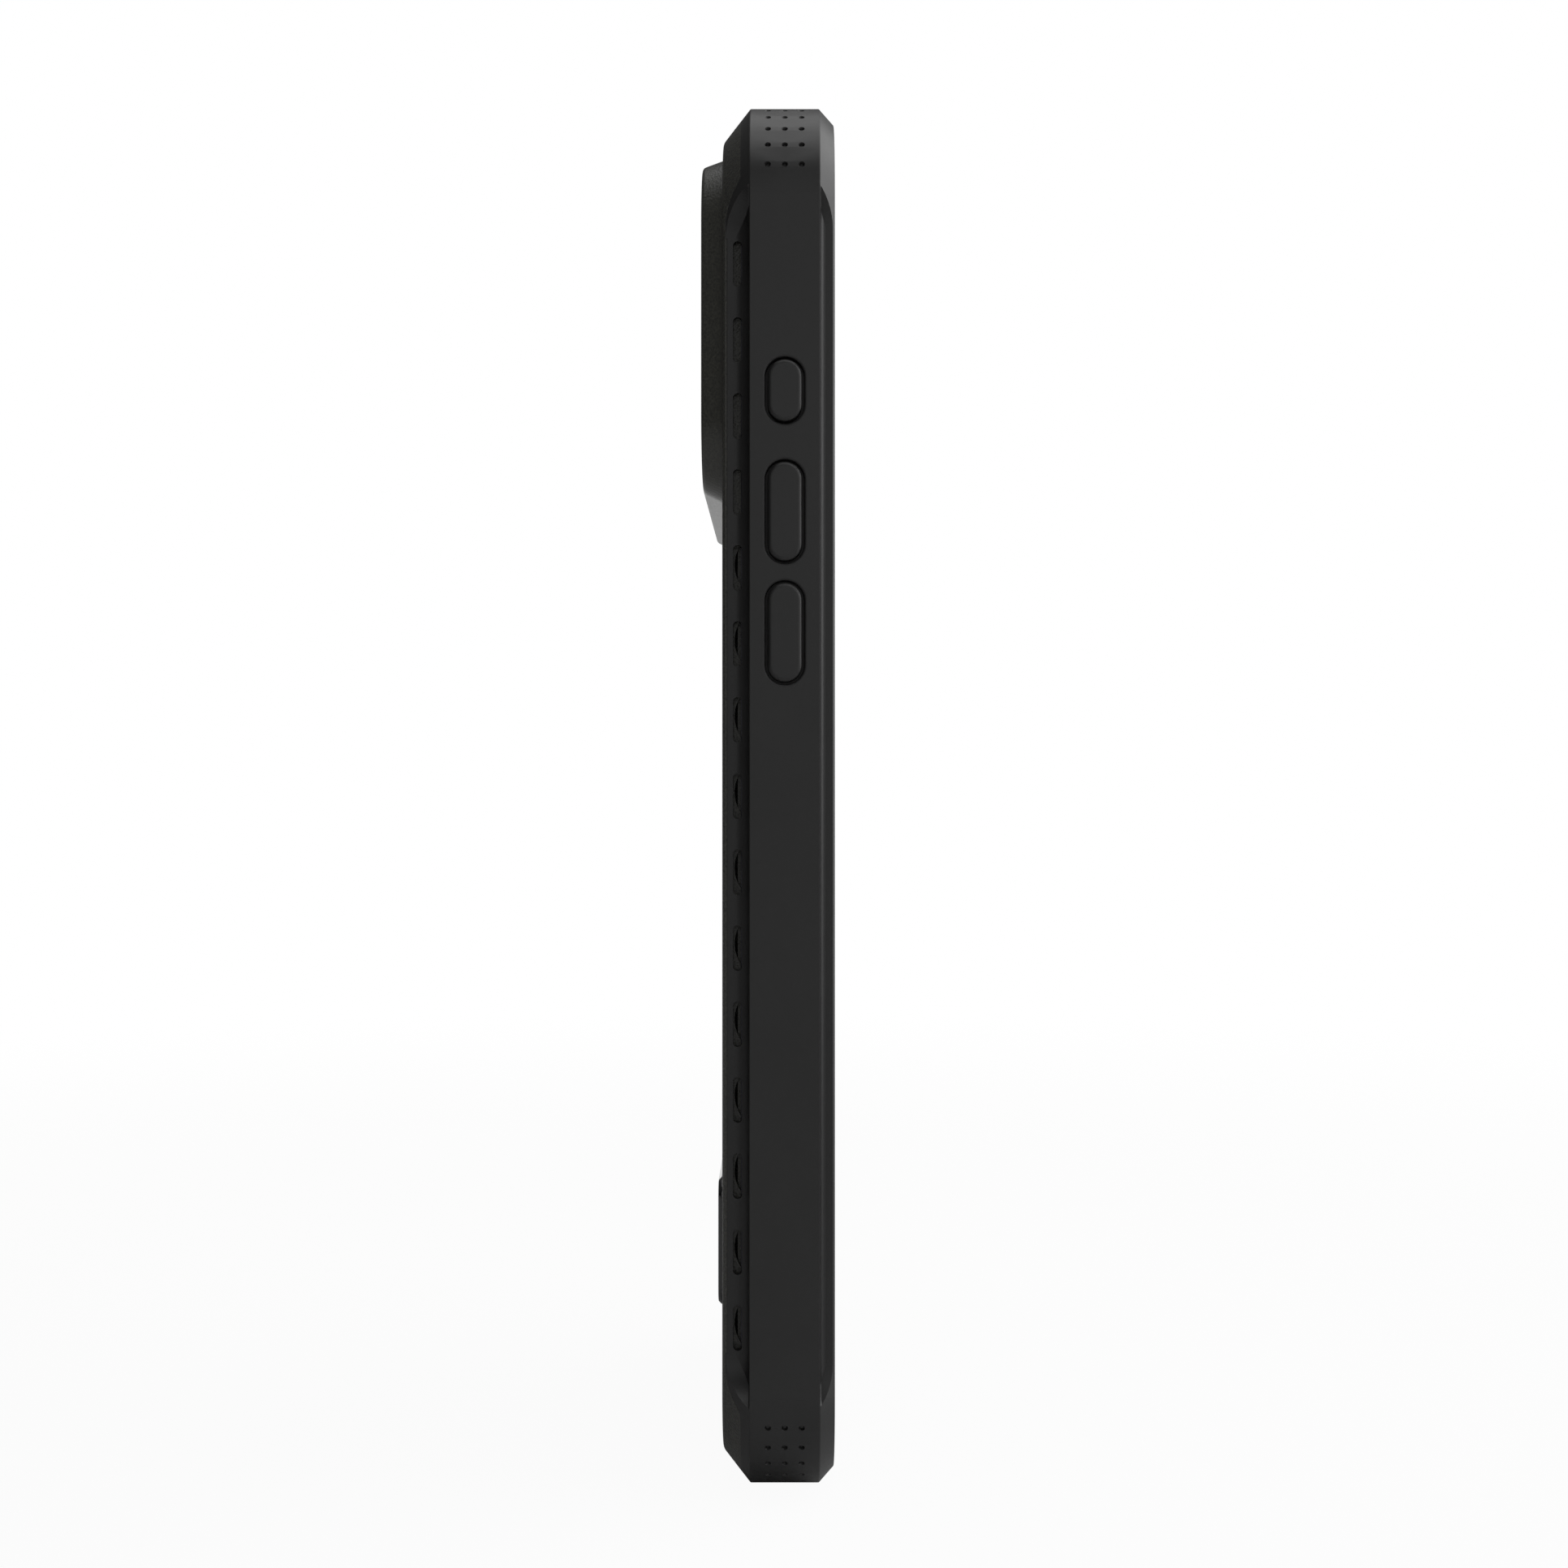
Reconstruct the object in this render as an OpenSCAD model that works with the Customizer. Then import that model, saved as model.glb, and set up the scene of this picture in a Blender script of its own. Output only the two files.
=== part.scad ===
// Rugged phone case, made as the real one is: a soft frame round a hard back shell,
// with its own buttons, retainers, impact pads, magnets, liner, guard and name plate.
// Everything is drawn lying on its back: X runs across the phone, Y up it and Z
// towards the screen, with Z = 0 where the phone's back rests. upright() then stands
// it up, so that the screen side faces -Y and the top is +Z.

/* [Phone held] */
// Width of the phone
phone_w = 71.9; // [64:0.1:87]
// Height of the phone
phone_h = 150; // [138:0.1:180]
// Thickness of the phone beside its camera
phone_t = 8.75; // [7.2:0.05:12]
// Radius of the phone's corners in front view
phone_r = 12.5; // [9:0.1:16]
// Radius round the phone's back edge, which the pocket's floor follows
phone_edge_r = 2; // [1.9:0.1:2.5]
// Clearance between the phone and the pocket, each side
phone_gap = 0.15; // [0.05:0.05:0.4]

/* [Case body] */
// Thickness of the side walls
wall_t = 2.35; // [2:0.05:3.5]
// Thickness of the back, from the phone to the outer face
back_t = 2.5; // [2.3:0.05:4]
// Height of the front lip above the phone's glass
lip_t = 1.1; // [0.9:0.05:2]
// How far the front lip reaches over the phone
lip_reach = 1.3; // [0.6:0.05:2]
// Radius of the case's outer corners in front view
corner_r = 12.2; // [10:0.1:16]
// Groove where the shell meets the soft skin
bond_gap = 0.07; // [0.01:0.01:0.1]

/* [Edge facets] */
// Width of the rear facet, in front view
rear_run = 3.75; // [2.5:0.05:5]
// Height of the rear facet, through the thickness
rear_rise = 3.05; // [2.3:0.05:4]
// Width of the front facet, in front view
front_run = 1.8; // [1:0.05:2.2]
// Height of the front facet, through the thickness
front_rise = 1.65; // [1:0.05:2]
// Radius on the side band's edges
band_edge_r = 0.25; // [0.1:0.05:0.5]
// Radius where the rear facet meets the back
back_edge_r = 1.2; // [0.4:0.1:2]

/* [Scallops] */
// Depth of the rear cove's wall below the side band
rear_cove_t = 3.27; // [2.8:0.01:3.5]
// Radius at the foot of that wall
rear_cove_r = 1.6; // [1:0.05:2]
// Depth of the front cove's wall below the side band
front_cove_t = 1.55; // [1:0.05:1.7]
// Radius at the foot of that wall
front_cove_r = 0.65; // [0.3:0.05:0.9]
// Distance from a side's end to where its rear cove starts to lift out
rear_cove_stop = 16.4; // [15:0.1:20]
// Radius of the arc on which the rear cove lifts out
rear_lift_r = 2.6; // [2.2:0.1:4]
// Distance from a side's end to where its front cove starts to lift out
front_cove_stop = 15.7; // [15:0.1:20]
// Radius of the arc on which the front cove lifts out
front_lift_r = 5.5; // [4:0.1:8]
// Radius that is left at a cove's foot where it lifts out
lift_foot_r = 0.2; // [0.1:0.05:0.3]
// Distance in from a side to the outer end of the parting line
parting_inset = 1.36; // [1.2:0.02:1.8]
// Distance from a side's end to the parting line's outer bend
parting_start = 10.4; // [10:0.05:12]
// Distance from a side's end to the parting line's inner bend
parting_stop = 13.1; // [12.5:0.1:15]
// Radius of the parting line's outer bend
parting_start_r = 2.8; // [0.5:0.1:3]
// Radius of its inner bend, where it joins the rear cove
parting_stop_r = 6.5; // [1:0.1:7]
// Thickness of the soft skin behind the rear cove
skin_t = 0.8; // [0.7:0.05:1.6]
// Thickness of the shell where it overlaps the skin
shell_edge_t = 0.15; // [0.1:0.05:0.4]

/* [Vents] */
// Vent windows on each long side
vent_count = 15; // [3:1:16]
// Windows beside the camera that have no slit behind them
blind_vents = 4; // [0:1:6]
// Distance between neighbouring windows
vent_pitch = 8.33; // [7:0.01:9]
// Length of a window
vent_l = 5; // [3:0.1:6]
// Width of a window
vent_w = 1; // [0.6:0.05:1.2]
// Level of the windows behind the phone's back
vent_level = 0.8; // [0.6:0.05:1]
// Radius of the shallow dish in the shell behind a window
dish_r = 4; // [3:0.1:6]
// Depth of that dish
dish_t = 0.6; // [0.3:0.05:0.7]
// Height of the dish's centre above the window's
dish_rise = 0.42; // [0:0.02:0.6]
// Greatest width of the crescent slit at the dish's rear side
slit_w = 0.34; // [0.2:0.02:0.45]
// Width of the air gallery that the slits open into
gallery_w = 3; // [2:0.1:4]
// Distance from the liner's edge to the gallery
gallery_margin = 1.5; // [1.4:0.1:2]
// Depth of the air gallery
gallery_t = 1.1; // [0.8:0.05:1.3]

/* [Corner grip] */
// Dimples along each corner's arc
dimple_rows = 6; // [2:1:7]
// Dimples across the band
dimple_columns = 3; // [1:1:3]
// Angle between neighbouring rows
dimple_step = 12; // [8:1:14]
// Distance between neighbouring columns
dimple_pitch = 1.84; // [1.2:0.02:2.2]
// Radius of a dimple at its mouth
dimple_r = 0.34; // [0.2:0.02:0.5]
// Depth of a dimple, whose wall leans out by half of it
dimple_t = 0.3; // [0.1:0.02:0.38]

/* [Buttons] */
// From the phone's top to the centre of the action button
action_drop = 31.1; // [26:0.1:34]
// From the phone's top to the centre of the volume-up button
volume_up_drop = 44.2; // [43:0.1:46]
// From the phone's top to the centre of the volume-down button
volume_down_drop = 57.3; // [57:0.1:64]
// From the phone's top to the centre of the side button
side_drop = 47.5; // [40:0.1:56]
// Length of the action button's opening
action_l = 7.22; // [6:0.02:8]
// Length of a volume button's opening
volume_l = 11.22; // [8:0.02:11.4]
// Length of the side button's opening
side_l = 17.9; // [10:0.1:20]
// Width of every button's opening
button_w = 4.2; // [3.4:0.02:4.2]
// Radius round the outer edge of every button's opening
opening_edge_r = 0.28; // [0.1:0.02:0.4]
// Gap all round a cap in its opening
moat_w = 0.23; // [0.15:0.01:0.4]
// How far a cap stands out of the band
cap_proud = 0.25; // [0:0.05:0.6]
// Radius round a cap's outer edge
cap_edge_r = 0.45; // [0.1:0.05:0.8]
// Width of the flange that holds a cap in
flange_w = 0.85; // [0.7:0.05:1]
// Thickness of that flange
flange_t = 0.35; // [0.3:0.05:0.5]
// Running clearance round the flange
flange_gap = 0.05; // [0.03:0.01:0.1]
// Travel of every button
button_travel = 0.35; // [0.2:0.05:0.4]
// Thickness of the retainer behind the flanges
retainer_t = 0.2; // [0.15:0.05:0.4]
// How far the retainer's edge lies beyond the button openings
retainer_margin = 1.5; // [1.4:0.1:2]
// Width of the nub that presses the phone's own key
nub_w = 1.7; // [1:0.1:2.2]
// Clearance round the nub in its retainer
nub_gap = 0.1; // [0.05:0.01:0.2]
// Distance from the nub's end to the wall's inner face
nub_back = 0.1; // [0.05:0.05:0.15]

/* [Camera guard] */
// Width of the camera window
camera_w = 62.4; // [40:0.1:64]
// Height of the camera window
camera_h = 33.7; // [24:0.1:38]
// Radius of the camera window's corners
camera_r = 6.4; // [4:0.1:10]
// From the phone's top to the centre of the window
camera_drop = 22.05; // [20:0.05:26]
// Width of the guard's rim
rim_w = 1.6; // [1.4:0.05:2]
// Height of the guard above the back
guard_t = 2.4; // [1:0.1:4]
// How far the guard's foot spreads at the sides and the top
foot_w = 0.85; // [0.4:0.05:1]
// Extra spread of the foot at the bottom
foot_drop = 0.35; // [0:0.05:1]
// Radius round the rim's outer edge
rim_edge_r = 0.35; // [0.1:0.05:0.6]
// Wall of the collar that goes through the shell
collar_t = 1.1; // [0.8:0.05:1.3]
// Clearance round the collar
collar_gap = 0.05; // [0.03:0.01:0.1]

/* [Magnets] */
// From the phone's top to the centre of the magnet ring
magnet_drop = 83; // [82:0.5:90]
// Outer diameter of the magnet ring
magnet_od = 54; // [50:0.5:56]
// Inner diameter of the magnet ring
magnet_id = 46; // [42:0.5:48]
// Number of magnets in the ring
magnet_count = 18; // [12:1:24]
// Angle left free between neighbouring magnets
magnet_gap_angle = 1.5; // [0.5:0.5:3]
// Thickness of the magnets
magnet_t = 0.9; // [0.6:0.05:0.9]
// Width of the bar magnet below the ring
bar_w = 6; // [4:0.1:8]
// Length of the bar magnet
bar_l = 18; // [10:0.1:20]
// From the ring's centre to the bar's centre
bar_drop = 41; // [40:0.1:42]
// Thickness of the film over the magnets
film_t = 0.15; // [0.1:0.01:0.2]
// Clearance round the magnets and their film
magnet_gap = 0.15; // [0.1:0.01:0.3]
// Radius of the groove that bounds the magnetic face
face_r = 29.2; // [28.5:0.1:32]
// Width of that groove
face_groove_w = 0.6; // [0.4:0.1:1]
// Depth of that groove
face_groove_t = 0.25; // [0.15:0.05:0.4]

/* [Name plate] */
// Width of the name plate
plate_w = 40; // [20:0.5:44]
// Height of the name plate
plate_h = 14.9; // [8:0.1:15]
// Bevel round the name plate's face
plate_bevel = 0.35; // [0.1:0.05:0.5]
// Radius that blends the bevel in
plate_edge_r = 0.2; // [0.05:0.05:0.3]
// Radius of the name plate's corners
plate_r = 2.2; // [1:0.1:4]
// How far the name plate stands out of the back
plate_proud = 0.88; // [0.3:0.02:1.2]
// From the phone's bottom to the name plate's centre
plate_rise = 22.7; // [20:0.1:23]
// Depth of the recess that the plate sits in
plate_recess_t = 0.5; // [0.3:0.05:0.5]
// Clearance round the plate in its recess
plate_gap = 0.1; // [0.05:0.01:0.2]
// Distance from the plate's edge to the tape's
tape_inset = 0.5; // [0.2:0.1:1]
// Thickness of the tape under the plate
tape_t = 0.12; // [0.08:0.01:0.2]

/* [Liner and pads] */
// Thickness of the microfibre liner
liner_t = 0.45; // [0.3:0.05:0.45]
// Distance from the phone's edge to the liner's edge
liner_inset = 1.7; // [1.6:0.05:3]
// Clearance round the liner
liner_gap = 0.1; // [0.05:0.01:0.3]
// Thickness of an impact pad
pad_t = 1.1; // [0.6:0.05:1.2]
// Width of an impact pad, through the case's thickness
pad_w = 5.6; // [3:0.1:6]
// Angle that an impact pad covers round its corner
pad_angle = 66; // [30:1:80]
// Clearance round an impact pad
pad_gap = 0.1; // [0.05:0.01:0.2]

/* [Cut-outs] */
// Length of the charging port's opening
port_l = 13; // [10:0.1:16]
// Width of the charging port's opening
port_w = 6.4; // [5:0.1:6.6]
// Flare round the port's opening
port_flare = 0.5; // [0.2:0.1:0.6]
// Length of a speaker slot
speaker_l = 13; // [6:0.1:14]
// Width of a speaker slot
speaker_w = 2.2; // [1:0.1:3]
// Flare round a speaker slot
speaker_flare = 0.3; // [0.1:0.1:0.5]
// From the case's middle to the centre of a speaker slot
speaker_offset = 17; // [16:0.1:17.5]
// From the phone's top to the centre of the camera key's opening
key_drop = 94; // [80:0.5:100]
// Length of the camera key's opening
key_l = 24; // [16:0.5:26]
// Width of the camera key's opening
key_w = 5.4; // [4.6:0.1:6]
// Flare round the camera key's opening
key_flare = 0.7; // [0.2:0.1:0.8]

/* [Hidden] */
$fn = 72;
EPS = 0.01;
CUT = 1;
// Reach of a cove's tool outside the band, its height, and the angle it lifts through
cove_reach = 2;
cove_height = 6;
cove_sweep = 80;

// Overall sizes and levels
case_w = phone_w + 2 * (phone_gap + wall_t);
case_h = phone_h + 2 * (phone_gap + wall_t);
pocket_w = phone_w + 2 * phone_gap;
pocket_h = phone_h + 2 * phone_gap;
pocket_r = phone_r + phone_gap;
back_z = -back_t;
shell_z = -liner_t;
pocket_top_z = phone_t + phone_gap;
front_z = phone_t + lip_t;
rear_edge_z = back_z + rear_rise;
front_edge_z = front_z - front_rise;
band_z = phone_t / 2;
shell_t = back_t - liner_t;

// Places up the phone
action_y = phone_h / 2 - action_drop;
volume_up_y = phone_h / 2 - volume_up_drop;
volume_down_y = phone_h / 2 - volume_down_drop;
side_y = phone_h / 2 - side_drop;
camera_y = phone_h / 2 - camera_drop;
magnet_y = phone_h / 2 - magnet_drop;
bar_y = magnet_y - bar_drop;
plate_y = plate_rise - phone_h / 2;
key_y = phone_h / 2 - key_drop;

// Levels and sizes that the fits share
film_z = shell_z - film_t;
magnet_z = film_z - magnet_t;
retainer_depth = wall_t - retainer_t;
flange_z = retainer_depth - flange_gap - button_travel - flange_t;
flange_depth = flange_z - flange_gap;
cap_w = button_w - 2 * moat_w;
well_w = cap_w + 2 * (flange_w + 2 * flange_gap);
retainer_w = button_w + 2 * retainer_margin;
left_top_y = action_y + action_l / 2 + retainer_margin;
left_low_y = volume_down_y - volume_l / 2 - retainer_margin;
gallery_inset = wall_t + phone_gap + liner_inset + gallery_margin;
dish_depth = rear_cove_t + skin_t + bond_gap + dish_t;
guard_w = camera_w + 2 * rim_w;
guard_h = camera_h + 2 * rim_w;

// ---------- outlines ----------

function unit(v) = v / norm(v);
function turn(v, a) = [v[0] * cos(a) - v[1] * sin(a), v[0] * sin(a) + v[1] * cos(a)];

// Points of the arc that rounds corner b between a and c; r = 0 keeps the corner
function rounding(a, b, c, r, steps) =
    r == 0 ? [b] :
    let (
        to_a = unit(a - b),
        to_c = unit(c - b),
        half = acos(to_a * to_c) / 2,
        centre = b + unit(to_a + to_c) * r / sin(half),
        start = b + to_a * r / tan(half) - centre,
        sweep = -sign(cross(to_a, to_c)) * (180 - 2 * half)
    )
    [for (i = [0 : steps]) centre + turn(start, sweep * i / steps)];

// An open profile of [inset, z] points with its inner corners rounded
function rounded_profile(pts, radii, steps = 4) = [
    for (i = [0 : len(pts) - 1])
        each (i == 0 || i == len(pts) - 1
            ? [pts[i]]
            : rounding(pts[i - 1], pts[i], pts[i + 1], radii[i], steps))
];

// ---------- building blocks ----------

// Stands the case up, with its back towards +Y
module upright() {
    rotate([90, 0, 0]) children();
}

// Solid with a rounded rectangular outline whose edge follows a profile of [inset, z]
// points, from the lowest level to the highest
module turned_block(w, h, r, pts) {
    low = pts[0][1];
    high = pts[len(pts) - 1][1];
    for (pair = [[w / 2, h - 2 * r, 0], [h / 2, w - 2 * r, 90]]) {
        right = [for (p = pts) [pair[0] - p[0], p[1]]];
        left = [for (i = [len(pts) - 1 : -1 : 0]) [pts[i][0] - pair[0], pts[i][1]]];
        rotate([90, 0, pair[2]])
            linear_extrude(height = pair[1], center = true)
                polygon(concat(right, left));
    }
    for (sx = [0, 1], sy = [0, 1])
        mirror([sx, 0, 0])
            mirror([0, sy, 0])
                translate([w / 2 - r, h / 2 - r, 0])
                    rotate_extrude(angle = 90)
                        polygon(concat([[0, low]], [for (p = pts) [r - p[0], p[1]]], [[0, high]]));
}

// The same with upright sides
module block(w, h, r, low, high) {
    turned_block(w, h, r, [[0, low], [0, high]]);
}

// Track-shaped solid along Y: pts are [radius, z] points from the lowest to the highest
module track(length, w, pts) {
    straight = length - w;
    low = pts[0][1];
    high = pts[len(pts) - 1][1];
    for (s = [0, 1])
        mirror([0, s, 0])
            translate([0, straight / 2, 0])
                rotate_extrude()
                    polygon(concat([[0, low]], pts, [[0, high]]));
    rotate([90, 0, 0])
        linear_extrude(height = straight, center = true)
            polygon(concat(pts, [for (i = [len(pts) - 1 : -1 : 0]) [-pts[i][0], pts[i][1]]]));
}

// The same with upright sides
module slot(length, w, low, high) {
    track(length, w, [[w / 2, low], [w / 2, high]]);
}

// Puts what is drawn looking into the wall (Z is depth) on a long side
module on_side(right, y, z) {
    mirror([right ? 1 : 0, 0, 0])
        translate([-case_w / 2, y, z])
            rotate([0, 90, 0]) children();
}

// Puts what is drawn looking into the wall on the bottom edge
module on_bottom(x, z) {
    translate([x, -case_h / 2, z])
        rotate([-90, 0, 0])
            rotate([0, 0, 90]) children();
}

// Section of a cove's tool: a wall at depth t, with radius r at its foot on the ledge
module cove_section(t, r, grow) {
    translate([t - r, r]) circle(r = r + grow);
    translate([-cove_reach, -grow]) square([cove_reach + t - r, cove_height]);
    translate([-cove_reach, r]) square([cove_reach + t + grow, cove_height - r]);
}

// One cove's tool: a bar that lifts out on an arc at both ends, towards -X. Its foot
// keeps the full radius until the wall has lifted past it
module cove_tool(length, t, r, lift_r, grow) {
    intersection() {
        union() {
            rotate([90, 0, 0])
                linear_extrude(height = length, center = true) cove_section(t, lift_foot_r, grow);
            for (s = [0, 1])
                mirror([0, s, 0])
                    translate([-lift_r, length / 2, 0])
                        rotate_extrude(angle = cove_sweep)
                            translate([lift_r, 0]) cove_section(t, lift_foot_r, grow);
        }
        rotate([90, 0, 0])
            linear_extrude(height = length + 2 * (lift_r + t + grow), center = true)
                cove_section(t, r, grow);
    }
}

// Puts its children on a side: 0 left, 1 right, 2 bottom, 3 top
module on_edge(side) {
    mirror([side == 1 ? 1 : 0, side == 3 ? 1 : 0, 0])
        translate(side < 2 ? [-case_w / 2, 0, 0] : [0, -case_h / 2, 0])
            rotate([0, 0, side < 2 ? 0 : 90]) children();
}

// Length of a side
function edge_length(side) = side < 2 ? case_h : case_w;

module rear_coves(grow) {
    translate([0, 0, rear_edge_z])
        mirror([0, 0, 1])
            for (side = [0 : 3])
                on_edge(side)
                    cove_tool(
                        edge_length(side) - 2 * rear_cove_stop, rear_cove_t, rear_cove_r, rear_lift_r, grow
                    );
}

module front_coves() {
    translate([0, 0, front_edge_z])
        for (side = [0 : 3])
            on_edge(side)
                cove_tool(
                    edge_length(side) - 2 * front_cove_stop, front_cove_t, front_cove_r, front_lift_r, 0
                );
}

// What lies outside the parting line in front view: along each side the line bends in
// from the corner's facet to the rear cove's wall
module parting_plan(grow) {
    for (side = [0 : 3])
        on_edge(side) {
            half = edge_length(side) / 2;
            line = [
                [parting_inset, half],
                [parting_inset, half - parting_start],
                [rear_cove_t, half - parting_stop],
                [rear_cove_t, 0]
            ];
            bent = rounded_profile(line, [0, parting_start_r, parting_stop_r, 0]);
            for (s = [0, 1])
                mirror([0, s])
                    polygon(concat([[-CUT, 0], [-CUT, half]], [for (p = bent) [p[0] + grow, p[1]]]));
        }
}

// The whole case as one block, with its facets
module case_block() {
    turned_block(case_w, case_h, corner_r, rounded_profile(
        [
            [corner_r - EPS, back_z],
            [rear_run, back_z],
            [0, rear_edge_z],
            [0, front_edge_z],
            [front_run, front_z],
            [corner_r - EPS, front_z]
        ],
        [0, back_edge_r, band_edge_r, band_edge_r, band_edge_r, 0]
    ));
}

// What lies a shell edge's thickness inside the rear facet and the back
module skin_block() {
    drop = shell_edge_t * norm([rear_run, rear_rise]) / rear_run;
    turned_block(case_w, case_h, corner_r, [
        [rear_run, back_z + drop],
        [0, rear_edge_z + drop],
        [0, band_z]
    ]);
}

// The soft skin behind the rear coves and beside their ends, before the coves are cut
module skin(gap) {
    intersection() {
        skin_block();
        rear_coves(skin_t + gap);
    }
    intersection() {
        case_block();
        translate([0, 0, back_z])
            linear_extrude(height = shell_z - back_z + CUT / 2) parting_plan(gap);
    }
}

// A camera opening's outline through the back, grown all round
module camera_hole(grow, low, high) {
    translate([0, camera_y, 0])
        block(camera_w + 2 * grow, camera_h + 2 * grow, camera_r + grow, low, high);
}

// The magnets' outline, grown all round
module magnet_outline(grow, low, high) {
    h = high - low;
    translate([0, magnet_y, low])
        difference() {
            cylinder(d = magnet_od + 2 * grow, h = h);
            translate([0, 0, -CUT]) cylinder(d = magnet_id - 2 * grow, h = h + 2 * CUT);
        }
    translate([-bar_w / 2 - grow, bar_y - bar_l / 2 - grow, low])
        cube([bar_w + 2 * grow, bar_l + 2 * grow, h]);
}

// The strip of film that joins the ring to the bar
module film_neck(grow, low, high) {
    neck_w = bar_w / 2;
    top_y = magnet_y - (magnet_od + magnet_id) / 4;
    translate([-neck_w / 2 - grow, bar_y, low])
        cube([neck_w + 2 * grow, top_y - bar_y, high - low]);
}

// ---------- frame ----------

module vent_windows() {
    for (right = [false, true], i = [0 : vent_count - 1])
        on_side(right, ((vent_count - 1) / 2 - i) * vent_pitch, -vent_level)
            slot(vent_l, vent_w, -CUT, rear_cove_t + skin_t + CUT);
}

// A dimple, drawn looking out of the wall
module dimple() {
    translate([0, 0, -dimple_t])
        cylinder(r1 = dimple_r - dimple_t / 2, r2 = dimple_r + CUT / 2, h = dimple_t + CUT);
}

module dimples() {
    first = 45 - dimple_step * (dimple_rows - 1) / 2;
    for (sx = [0, 1], sy = [0, 1], i = [0 : dimple_rows - 1], j = [0 : dimple_columns - 1])
        mirror([sx, 0, 0])
            mirror([0, sy, 0])
                translate([case_w / 2 - corner_r, case_h / 2 - corner_r, 0])
                    rotate([0, 0, first + dimple_step * i])
                        translate([corner_r, 0, band_z + (j - (dimple_columns - 1) / 2) * dimple_pitch])
                            rotate([0, 90, 0]) dimple();
}

// Opening and flange well of one button
module button_opening(length) {
    r = button_w / 2;
    track(length, button_w, concat(
        [[r + opening_edge_r, -CUT]],
        rounding([r + opening_edge_r, 0], [r, 0], [r, wall_t], opening_edge_r, 4),
        [[r, wall_t]]
    ));
    slot(length - button_w + well_w, well_w, flange_depth, wall_t + CUT);
}

// Seat of a retainer, cut into the wall's inner face
module retainer_seat(length) {
    slot(length + 2 * flange_gap, retainer_w + 2 * flange_gap, retainer_depth, wall_t + CUT);
}

// Opening with an outer flare, for a finger or a plug
module flared_opening(length, w, flare) {
    track(length, w, [[w / 2 + flare, -CUT], [w / 2 + flare, 0], [w / 2, flare], [w / 2, wall_t + CUT]]);
}

module pad_shape(angle, thickness, w, grow) {
    rotate([0, 0, 45 - angle / 2])
        rotate_extrude(angle = angle)
            translate([pocket_r - grow, band_z - w / 2]) square([thickness + grow, w]);
}

module at_corner(right, top) {
    mirror([right ? 0 : 1, 0, 0])
        mirror([0, top ? 0 : 1, 0])
            translate([pocket_w / 2 - pocket_r, pocket_h / 2 - pocket_r, 0]) children();
}

module bumper_frame() {
    gap_angle = pad_gap / pocket_r * 180 / PI;
    color([0.12, 0.12, 0.12])
        upright()
            difference() {
                union() {
                    intersection() {
                        case_block();
                        translate([-case_w, -case_h, shell_z])
                            cube([2 * case_w, 2 * case_h, front_z + CUT]);
                    }
                    skin(0);
                }
                turned_block(pocket_w, pocket_h, pocket_r, rounded_profile(
                    [[phone_edge_r + CUT, 0], [0, 0], [0, pocket_top_z]],
                    [0, phone_edge_r, 0], 6
                ));
                block(
                    phone_w - 2 * (liner_inset - liner_gap), phone_h - 2 * (liner_inset - liner_gap),
                    phone_r - liner_inset + liner_gap, back_z - CUT, CUT
                );
                turned_block(phone_w - 2 * lip_reach, phone_h - 2 * lip_reach, phone_r - lip_reach, [
                    [0, pocket_top_z - CUT],
                    [0, front_z - lip_t / 2],
                    [-lip_t / 2, front_z],
                    [-lip_t / 2, front_z + CUT]
                ]);
                rear_coves(0);
                front_coves();
                vent_windows();
                dimples();
                on_side(false, action_y, band_z) button_opening(action_l);
                on_side(false, volume_up_y, band_z) button_opening(volume_l);
                on_side(false, volume_down_y, band_z) button_opening(volume_l);
                on_side(true, side_y, band_z) button_opening(side_l);
                on_side(false, (left_top_y + left_low_y) / 2, band_z)
                    retainer_seat(left_top_y - left_low_y);
                on_side(true, side_y, band_z) retainer_seat(side_l + 2 * retainer_margin);
                on_side(true, key_y, band_z) flared_opening(key_l, key_w, key_flare);
                on_bottom(0, band_z) flared_opening(port_l, port_w, port_flare);
                for (x = [-speaker_offset, speaker_offset])
                    on_bottom(x, band_z) flared_opening(speaker_l, speaker_w, speaker_flare);
                for (right = [false, true], top = [false, true])
                    at_corner(right, top)
                        pad_shape(pad_angle + 2 * gap_angle, pad_t + pad_gap, pad_w + 2 * pad_gap, CUT);
            }
}

module pad(right, top) {
    color([0.2, 0.2, 0.21])
        upright() at_corner(right, top) pad_shape(pad_angle, pad_t, pad_w, 0);
}

module top_left_pad() { pad(false, true); }
module top_right_pad() { pad(true, true); }
module bottom_left_pad() { pad(false, false); }
module bottom_right_pad() { pad(true, false); }

// ---------- back ----------

// The way in behind an open window, drawn looking into the wall: a dish inside the
// window's outline, and a crescent slit along the dish's rear side
module air_way() {
    reach = gallery_inset + CUT;
    intersection() {
        translate([slit_w - dish_r, dish_rise, 0]) cylinder(r = dish_r, h = reach);
        union() {
            slot(vent_l, vent_w, 0, dish_depth);
            translate([0, -vent_l / 2, 0]) cube([vent_w / 2, vent_l, reach]);
        }
    }
}

// The ways in behind all open windows, with the gallery that they lead to
module air_ways() {
    top_y = ((vent_count - 1) / 2 - blind_vents) * vent_pitch + vent_l / 2;
    low_y = -(vent_count - 1) / 2 * vent_pitch - vent_l / 2;
    for (right = [false, true]) {
        for (i = [blind_vents : vent_count - 1])
            on_side(right, ((vent_count - 1) / 2 - i) * vent_pitch, -vent_level) air_way();
        on_side(right, (top_y + low_y) / 2, shell_z)
            translate([0, -(top_y - low_y) / 2, gallery_inset])
                cube([gallery_t, top_y - low_y, gallery_w]);
    }
}

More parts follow.
